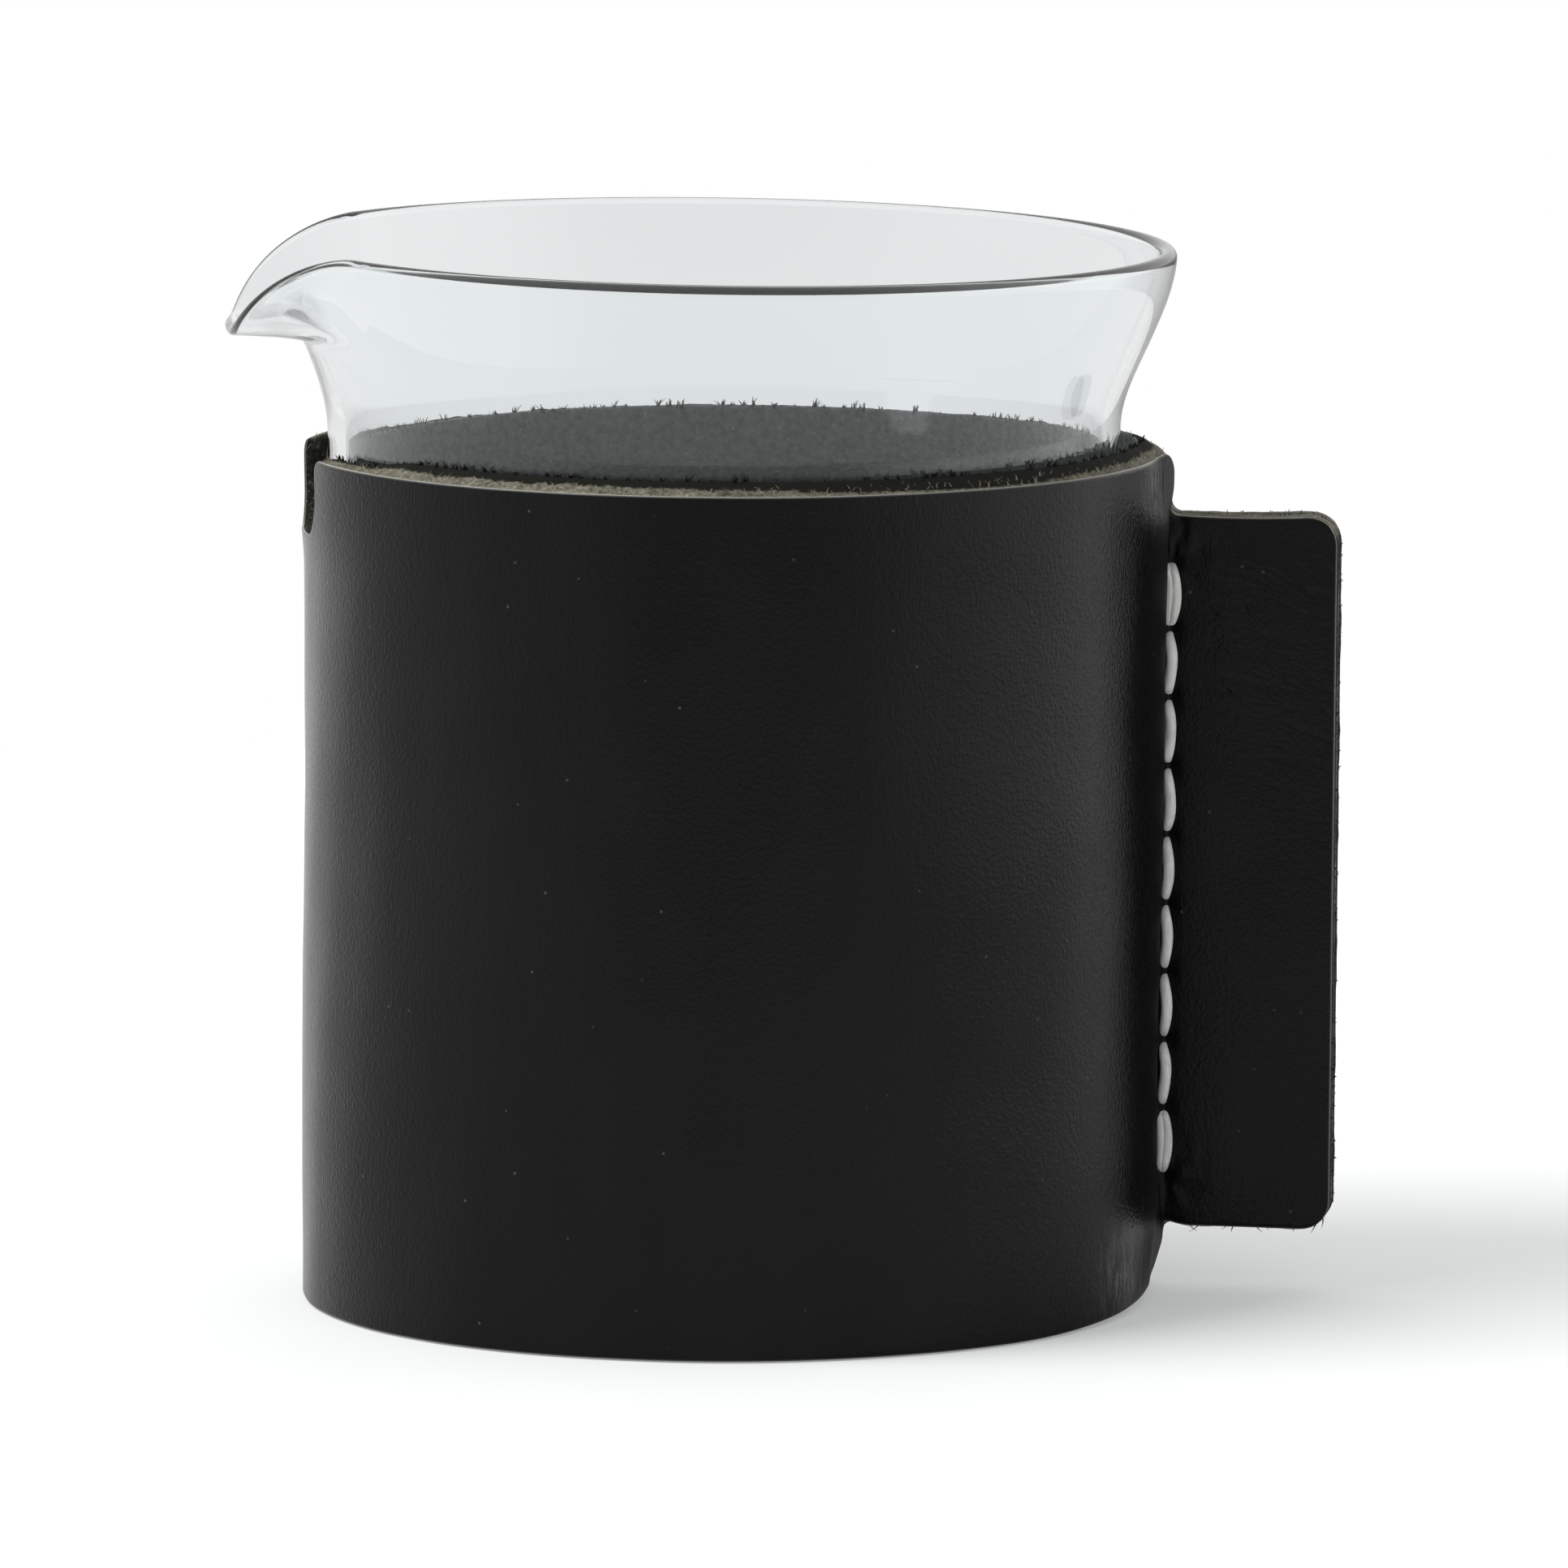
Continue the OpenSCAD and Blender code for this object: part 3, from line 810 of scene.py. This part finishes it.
def grain_finish():
    """Black waxed leather: close upright pores, a fine pebble, a soft sheen over a cloudy tone, a few
    specks of dust, pale streaks where the leather is bent, which are partly its pulled-up wax and
    partly a painted sheen, and faint slanting wrinkles on the handle."""
    look = new_finish("black_grain_leather")
    upright = stretched_place(look, (1.0, 1.0, 0.4))
    even = stretched_place(look)
    slanting = add_node(look, "ShaderNodeMapping", Vector=even, Rotation=(0.0, np.radians(24.0), 0.0),
                        Scale=(7.0, 1.0, 1.0))
    slanting.vector_type = "TEXTURE"
    pores = noise(look, upright, 3000.0, 3.0, 0.65)
    streaks = noise(look, stretched_place(look, (1.0, 1.0, 0.22)), 1300.0, 4.0, 0.65)
    wrinkles = noise(look, slanting.outputs["Vector"], 750.0)
    cloud = noise(look, upright, 70.0, 3.0)
    specks = ramp(look, cells(look, even, 260.0), [(0.03, 0.5), (0.05, 0.0)])
    # Pale streaks on the sleeve's corners beside the handle: partly the wax pulled up where the leather is
    # bent, partly a painted sheen
    pale = masked(look, "bloom_and_painted_sheen", ramp(look, streaks, [(0.42, 0.05), (0.64, 1.0)]))
    colour = ramp(look, cloud, [(0.3, (0.0028, 0.0028, 0.0031, 1.0)), (0.7, (0.0052, 0.0052, 0.0056, 1.0))])
    colour = blend(look, specks, colour, (0.10, 0.10, 0.10, 1.0))
    colour = blend(look, pale, colour, (0.12, 0.12, 0.117, 1.0))
    colour = blend(look, layer_value(look, "pale_edge"), colour, (0.46, 0.455, 0.42, 1.0))
    pulled = masked(look, "drawn", ramp(look, wrinkles, [(0.36, 0.0), (0.50, 1.0)]))
    normal = bumped(look, cells(look, even, 2400.0), 0.6, 0.00004)
    normal = bumped(look, pores, 0.8, 0.00007, Normal=normal)
    normal = bumped(look, masked(look, "creased", streaks), 1.0, 0.0006, Normal=normal)
    normal = bumped(look, pulled, 1.0, 0.00008, Normal=normal)
    polish = ramp(look, pores, [(0.3, 0.21), (0.6, 0.115)])
    dull = part_way(look, layer_value(look, "dulled"), polish, 0.62)
    return set_finish(look, Base_Color=colour, Roughness=dull, Specular_IOR_Level=0.15, Normal=normal)


def cut_finish():
    """Raw cut edge with no gloss, black towards the flesh side. As painted top light it has olive-tan
    fibres with dark between them where it faces up, and as painted shade its upright faces are near
    black with olive specks; a painted shade also blackens more of the top edge on part of the front."""
    look = new_finish("cut_leather_edge")
    place = stretched_place(look)
    fibre = noise(look, place, 2400.0, 5.0, 0.7)
    tan = ramp(look, fibre, [(0.32, (0.07, 0.066, 0.048, 1.0)), (0.5, (0.20, 0.19, 0.145, 1.0)),
                             (0.7, (0.37, 0.36, 0.285, 1.0))])
    dark = ramp(look, fibre, [(0.48, (0.010, 0.010, 0.008, 1.0)), (0.60, (0.035, 0.033, 0.026, 1.0)),
                              (0.70, (0.17, 0.163, 0.128, 1.0))])
    shade = ramp(look, noise(look, place, 500.0, 3.0), [(0.3, 0.55), (0.7, 1.0)])
    fray = noise(look, place, 1500.0, 4.0, 0.6)
    frayed = combine(look, "MULTIPLY_ADD", fray, 0.5, layer_value(look, "depth_share"))
    blackened = ramp(look, frayed, [(0.64, 0.0), (0.76, 1.0)])
    colour = blend(look, 1.0, tan, shade, "MULTIPLY")
    # Painted top light and shade: olive-tan where the edge faces up, dark on its upright faces
    colour = blend(look, layer_value(look, "painted_top_light"), dark, colour)
    colour = blend(look, blackened, colour, (0.012, 0.012, 0.010, 1.0))
    return set_finish(look, Base_Color=colour, Roughness=0.95, Specular_IOR_Level=0.15,
                      Normal=bumped(look, fibre, 0.9, 0.00015))


def flesh_finish():
    """Flesh side: napped grey leather with short pale fibres lying on it."""
    look = new_finish("flesh_side_leather")
    place = stretched_place(look)
    nap = noise(look, place, 1300.0, 5.0, 0.65)
    hairs = noise(look, place, 620.0, 1.0, distortion=1.2)
    tufts = noise(look, place, 900.0, 1.0)
    lying = combine(look, "MULTIPLY", ramp(look, hairs, [(0.482, 0.0), (0.5, 0.7), (0.518, 0.0)]),
                    ramp(look, tufts, [(0.58, 0.0), (0.66, 1.0)]))
    flecks = ramp(look, cells(look, place, 720.0), [(0.08, 0.8), (0.14, 0.0)])
    strewn = combine(look, "MAXIMUM", lying, flecks)
    grey = ramp(look, nap, [(0.3, (0.125, 0.132, 0.131, 1.0)), (0.7, (0.330, 0.348, 0.342, 1.0))])
    return set_finish(look, Base_Color=blend(look, strewn, grey, (0.46, 0.46, 0.42, 1.0)),
                      Roughness=0.95, Specular_IOR_Level=0.1, Normal=bumped(look, nap, 0.8, 0.0002))


for finish in (grain_finish, cut_finish, flesh_finish):
    sleeve.data.materials.append(finish())
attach(sleeve, "sleeve")
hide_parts("leather_sleeve")


# Loose fibres: ends of the leather's own fibres that the knife leaves standing on the cut edge. They
# grow out of it: pale curled ones and dark tufts on the top edge, short dark ones round the handle.
fibre_root = 0.3
fibre_points_along = 5
fibre_sides = 3


def edge_picks(chance, count, seed):
    """Numbers of outline points, drawn with a chance for each point times the outline's length there."""
    weight = chance * rim_step
    return np.random.default_rng(seed).choice(len(rim_flat), count, p=weight / weight.sum())


def loose_fibres(pick, depth, length, thick, curl, seed):
    """Three-sided tubes that leave the cut edge at picked points. Each path goes out by its length,
    leans along the edge, curls by the square of the share along it, and thins to its tip."""
    dice = np.random.default_rng(seed)
    share = np.linspace(0.0, 1.0, fibre_points_along)
    start = rim_flat[pick] + rim_way[pick] * dice.normal(0.0, 0.15, (len(pick), 1))
    start[:, 1] += slant(start[:, 0], start[:, 1]) * (depth / leather) ** 1.2
    way = rim_out[pick] + rim_way[pick] * dice.normal(0.0, 0.45, (len(pick), 1))
    reach = share * (length[:, None] + fibre_root) - fibre_root
    bend = (dice.normal(0.0, curl, len(pick)) * length)[:, None] * share ** 2
    flat = start[:, None] + reach[..., None] * way[:, None] + bend[..., None] * rim_way[pick][:, None]
    deep = np.clip(depth[:, None] + reach * dice.normal(0.0, 0.4, len(pick))[:, None], 0.1, leather - 0.1)
    path = strip_place(flat[..., 0], flat[..., 1], deep)
    spin = on_circle(np.arange(fibre_sides) * 2.0 * np.pi / fibre_sides)
    lying = np.pad(spin, ((0, 0), (0, 1)))
    standing = np.pad(spin, ((0, 0), (1, 0)))
    ring = np.where((np.abs(rim_out[pick, 1]) > 0.5)[:, None, None], lying, standing)
    size = thick[:, None] * (1.0 - 0.85 * share ** 1.5)
    return path[:, :, None, :] + size[:, :, None, None] * ring[:, None]


def many_tubes(count, along, around):
    """First point number of each of many tubes, and the quads between the rings of all of them."""
    start = (np.arange(count) * along * around)[:, None, None]
    return start, (grid_quads(along, around, close_columns=True) + start).reshape(-1, 4)


def lone_fibres(chance, count, depth, length, thick, curl, seed):
    """Fibres that stand alone, with sizes drawn evenly between two limits."""
    return loose_fibres(edge_picks(chance, count, seed), leather * dice.uniform(*depth, count),
                        dice.uniform(*length, count), dice.uniform(*thick, count), curl, seed + 10)


def tufted_fibres(chance, count, strands, shortest, longer, power, depth, curl, seed):
    """Fibres in tufts. The strands of a tuft share a length that a power makes mostly short, and each
    has a share of it."""
    length = np.repeat(shortest + longer * dice.random(count) ** power, strands)
    length = length * dice.uniform(0.5, 1.0, len(length))
    return loose_fibres(np.repeat(edge_picks(chance, count, seed), strands),
                        leather * dice.uniform(depth, 1.0, len(length)), length,
                        dice.uniform(0.09, 0.17, len(length)), curl, seed + 10)


past_shoulder = np.abs(rim_flat[:, 0]) - shoulder[leaf_of(rim_flat[:, 0])]
top_chance = on_top * (past_shoulder < -3.0)
handle_chance = (past_shoulder > 1.5) * 1.0
low_chance = handle_chance * (rim_flat[:, 1] < handle_low + 1.0)
dice = np.random.default_rng(77)
fibre_kinds = [
    lone_fibres(top_chance, 420, (0.22, 0.52), (0.15, 0.6), (0.06, 0.11), 0.9, 71),
    tufted_fibres(top_chance, 280, 4, 0.15, 0.7, 1.8, 0.86, 0.3, 72),
    tufted_fibres(handle_chance, 420, 2, 0.08, 0.28, 2.5, 0.2, 0.4, 73),
    lone_fibres(low_chance, 9, (0.2, 0.9), (0.4, 0.9), (0.09, 0.14), 0.8, 74)]
fibre_points = np.concatenate(fibre_kinds)
fibre_shade = np.repeat([0.0, 1.0, 0.9, 0.9], [len(kind) for kind in fibre_kinds])
fibre_size = fibre_points_along * fibre_sides
fibre_start, fibre_quads = many_tubes(len(fibre_points), fibre_points_along, fibre_sides)
fibre_caps = np.array([[2, 1, 0], [fibre_size - 3, fibre_size - 2, fibre_size - 1]])
fibre_caps = (fibre_caps[None] + fibre_start).reshape(-1, 3)
fibres = make_piece("leather_edge_fibres", fibre_points.reshape(-1, 3), fibre_quads, fibre_caps)
add_layer(fibres, "depth_share", np.repeat(fibre_shade, fibre_size))


def fibre_finish():
    """Loose leather fibre: tan from the middle of the leather, and black from its flesh side."""
    look = new_finish("loose_leather_fibre")
    colour = ramp(look, layer_value(look, "depth_share"), [(0.1, (0.46, 0.42, 0.31, 1.0)),
                                                           (0.8, (0.030, 0.029, 0.024, 1.0)),
                                                           (1.0, (0.010, 0.010, 0.009, 1.0))])
    shade = ramp(look, noise(look, stretched_place(look), 900.0), [(0.3, 0.6), (0.65, 1.0)])
    return set_finish(look, Base_Color=blend(look, 1.0, colour, shade, "MULTIPLY"),
                      Roughness=0.9, Specular_IOR_Level=0.1)


fibres.data.materials.append(fibre_finish())
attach(fibres, "sleeve")


# Stitching thread: off-white waxed thread in saddle stitch. It closes the handle beside the fold, lies
# in a shallow groove from hole to hole on both leaves, and goes twice over the first and last stitch.
thread_radius = 0.57
thread_dive = 1.1
thread_stand = 0.34
hole_gap = 0.15
double_shift = 0.27
bow_back = 0.18
ply_height = 0.035
thread_steps = 26
thread_round = 16


def stitch_tube(sign, low, high, shift, seed):
    """One stitch: a tube from hole to hole. Its path dives into the leather at both ends by a high
    power of the share along it and bows aside by a half sine, and the tube tapers to its ends by a
    lower power. Three plies twist round it as a wave."""
    dice = np.random.default_rng(seed)
    share = np.linspace(0.0, 1.0, thread_steps)
    swing = 2.0 * share - 1.0
    arch = 1.0 - np.abs(swing) ** 7
    taper = 0.34 + 0.68 * (1.0 - swing ** 4) ** 0.8
    out = half_handle - thread_dive + (thread_dive + thread_stand + dice.uniform(-0.05, 0.05)) * arch
    height = low + hole_gap + (high - low - 2.0 * hole_gap) * share
    bow = dice.uniform(0.36, 0.50) * np.sin(np.pi * share ** dice.uniform(0.85, 1.2)) - bow_back
    aside = stitch_line(height) + shift * (0.35 + 0.65 * arch) + bow
    angle = np.linspace(0.0, 2.0 * np.pi, thread_round + 1)[:-1]
    ply = 1.0 + ply_height * np.cos(3.0 * angle[None, :] - 9.0 * share[:, None] + dice.uniform(0.0, 6.0))
    size = thread_radius * taper[:, None] * ply * (1.0 - 0.2 * np.abs(shift))
    along = aside[:, None] + size * np.cos(angle)[None, :]
    off = sign * (out[:, None] + 0.92 * size * np.sin(angle)[None, :])
    xy = handle_root + along[..., None] * leaf_along + off[..., None] * leaf_across
    z = np.broadcast_to(height[:, None], along.shape)
    return np.stack([xy[..., 0] + sleeve_shift + root_shift(z), xy[..., 1], z], axis=-1)


tubes = []
for k in range(hole_count - 1):
    sewn_twice = k in (0, hole_count - 2)
    for sign in leaf_sign:
        for shift in ((-double_shift, double_shift) if sewn_twice else (0.0,)):
            tubes.append(stitch_tube(sign, hole_z[k], hole_z[k + 1], shift, 100 + 7 * len(tubes)))
tubes = np.stack(tubes)
tube_size = thread_steps * thread_round
tube_start, tube_quads = many_tubes(len(tubes), thread_steps, thread_round)
tube_ends = np.concatenate([tubes[:, 0].mean(axis=1), tubes[:, -1].mean(axis=1)])
first_turn = tube_start[:, 0] + np.arange(thread_round)
last_turn = first_turn + tube_size - thread_round
poles = len(tubes) * tube_size + np.arange(2 * len(tubes)).reshape(2, -1, 1)
caps = np.concatenate([fan(first_turn, poles[0])[:, ::-1], fan(last_turn, poles[1])])
thread_points = np.concatenate([tubes.reshape(-1, 3), tube_ends])
thread = make_piece("stitching_thread_waxed", thread_points, tube_quads, caps)


def thread_finish():
    """Waxed off-white thread: fine fibres along it, a soft grey in the twist, and a dull sheen."""
    look = new_finish("waxed_thread")
    fibre = noise(look, stretched_place(look, (1.0, 1.0, 0.22)), 3200.0, 3.0, 0.6)
    pale = ramp(look, fibre, [(0.3, (0.74, 0.75, 0.72, 1.0)), (0.62, (0.90, 0.91, 0.88, 1.0))])
    shade = ramp(look, noise(look, stretched_place(look), 420.0), [(0.35, 0.86), (0.6, 1.0)])
    return set_finish(look, Base_Color=blend(look, 1.0, pale, shade, "MULTIPLY"), Roughness=0.55,
                      Normal=bumped(look, fibre, 0.5, 0.00008))


thread.data.materials.append(thread_finish())
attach(thread, "sleeve")
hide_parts("stitching_thread")


# Stage: a round white table in a pale room that is dimmer on the camera's side, two wide soft lights
# that show in no reflection, and the camera where the photograph was taken. The room is plain white
# to the camera, and has levels of its own for soft light, for mirrored light and through the glass.
table_radius = 420.0
table_level = -0.15
table_sides = 96
table_glow = 0.28
table_mirrored_glow = 0.02
table_ring = table_radius * on_circle(np.linspace(0.0, 2.0 * np.pi, table_sides + 1)[:-1])
table_points = np.pad(table_ring, ((0, 1), (0, 1)))
table_points[:, 2] = table_level
table_mesh = bpy.data.meshes.new("table")
table_mesh.from_pydata((table_points * 0.001).tolist(), [], fan(np.arange(table_sides), table_sides).tolist())
table = bring_in("table", table_mesh)
table_finish = new_finish("white_table")
seen = table_finish.node_tree.nodes.new("ShaderNodeLightPath").outputs
mirrored = combine(table_finish, "SUBTRACT", seen["Is Glossy Ray"], seen["Is Transmission Ray"])
mirrored = combine(table_finish, "MULTIPLY", mirrored, table_mirrored_glow)
glow = combine(table_finish, "MULTIPLY_ADD", seen["Is Camera Ray"], table_glow, mirrored)
set_finish(table_finish, Base_Color=(0.63, 0.63, 0.63, 1.0), Roughness=0.9, Specular_IOR_Level=0.1,
           Emission_Color=(0.96, 1.0, 0.99, 1.0), Emission_Strength=glow)
table_mesh.materials.append(table_finish)


def fading(owner, value, start, end, low, high, curve="SMOOTHSTEP"):
    """Level that goes from low to high while a value goes from its start to its end."""
    node = add_node(owner, "ShaderNodeMapRange", Value=value, From_Min=start, From_Max=end,
                    To_Min=low, To_Max=high)
    node.interpolation_type = curve
    return node.outputs["Result"]


room = bpy.data.worlds.new("room")
bpy.context.scene.world = room
room.use_nodes = True
toward = room.node_tree.nodes.new("ShaderNodeTexCoord").outputs["Generated"]
way = add_node(room, "ShaderNodeSeparateXYZ", Vector=toward).outputs
soft_room = fading(room, way["Y"], -0.55, 0.25, 0.15, 1.0)
front = fading(room, way["Y"], -1.0, -0.25, 0.54, 1.0)
right_wall = fading(room, way["X"], 0.4, 0.9, 0.0, 0.55)
right_side = fading(room, way["X"], -0.2, 0.4, 0.0, 1.0)
far_side = fading(room, way["Y"], 0.36, 0.62, 0.0, 0.75)
low_side = fading(room, way["Z"], -0.08, 0.08, 1.0, 0.0)
dark_corner = combine(room, "MULTIPLY", combine(room, "MULTIPLY", right_side, far_side), low_side)
mirrored_room = combine(room, "MULTIPLY", combine(room, "ADD", front, right_wall),
                        combine(room, "SUBTRACT", 1.0, dark_corner))
above = fading(room, way["Z"], 0.2, 0.6, 0.79, 0.6, "LINEAR")
clear_room = combine(room, "MULTIPLY", above, front)
ray = room.node_tree.nodes.new("ShaderNodeLightPath").outputs
level = part_way(room, ray["Is Glossy Ray"], soft_room, mirrored_room)
level = part_way(room, ray["Is Transmission Ray"], level, clear_room)
level = combine(room, "MAXIMUM", level, ray["Is Camera Ray"])
put_all(room, room.node_tree.nodes["Background"], {"Color": (1.0, 1.0, 1.0, 1.0), "Strength": level})


def aim(holder, place, target):
    """Puts a lamp or camera at a place and turns its -z axis to a target, with its y axis upward."""
    back = np.array(place) - np.array(target)
    back = back / np.linalg.norm(back)
    right = np.cross([0.0, 0.0, 1.0], back)
    right = right / np.linalg.norm(right)
    turned = np.eye(4)
    turned[:3, 0] = right
    turned[:3, 1] = np.cross(back, right)
    turned[:3, 2] = back
    turned[:3, 3] = place
    holder.matrix_world = Matrix(turned.tolist())


upward = np.array([0.0, 0.0, 1.0])
view_turn = np.radians(-5.0)
view_right = np.array([np.cos(view_turn), np.sin(view_turn), 0.0])
view_back = np.array([-np.sin(view_turn), np.cos(view_turn), 0.0])
lamp_reach = 1.2


def soft_sun(name, strength, width, turn, height):
    """Wide soft light from far away: its angle is its width in the sky, and it comes from a turn
    about z, counted from the left of the view towards the camera, and a height above the table."""
    lamp = bpy.data.lights.new(name, "SUN")
    lamp.energy = strength
    lamp.angle = np.radians(width)
    holder = bring_in(name, lamp)
    way = -np.cos(np.radians(turn)) * view_right - np.sin(np.radians(turn)) * view_back
    way = way * np.cos(np.radians(height)) + upward * np.sin(np.radians(height))
    aim(holder, lamp_reach * way, np.zeros(3))
    holder.visible_glossy = False
    holder.visible_transmission = False


soft_sun("window_light", 2.75, 40.0, 19.0, 46.0)
soft_sun("white_wall", 0.6, 64.0, 118.0, 26.0)

camera = bpy.data.cameras.new("camera")
camera.sensor_width = 36.0
camera.lens = 348.84
camera.clip_start = 0.05
camera.clip_end = 40.0
camera_holder = bring_in("camera", camera)
camera_distance = 1.53798
camera_target = 0.006046 * view_right + 0.0517955 * upward
camera_side = view_turn + np.radians(0.5616)
camera_rise = np.radians(7.7389)
camera_way = np.cos(camera_rise) * np.array([np.sin(camera_side), -np.cos(camera_side), 0.0])
camera_way = camera_way + np.sin(camera_rise) * upward
aim(camera_holder, camera_target + camera_distance * camera_way, camera_target)
bpy.context.scene.camera = camera_holder
bpy.context.scene.view_settings.view_transform = "Standard"
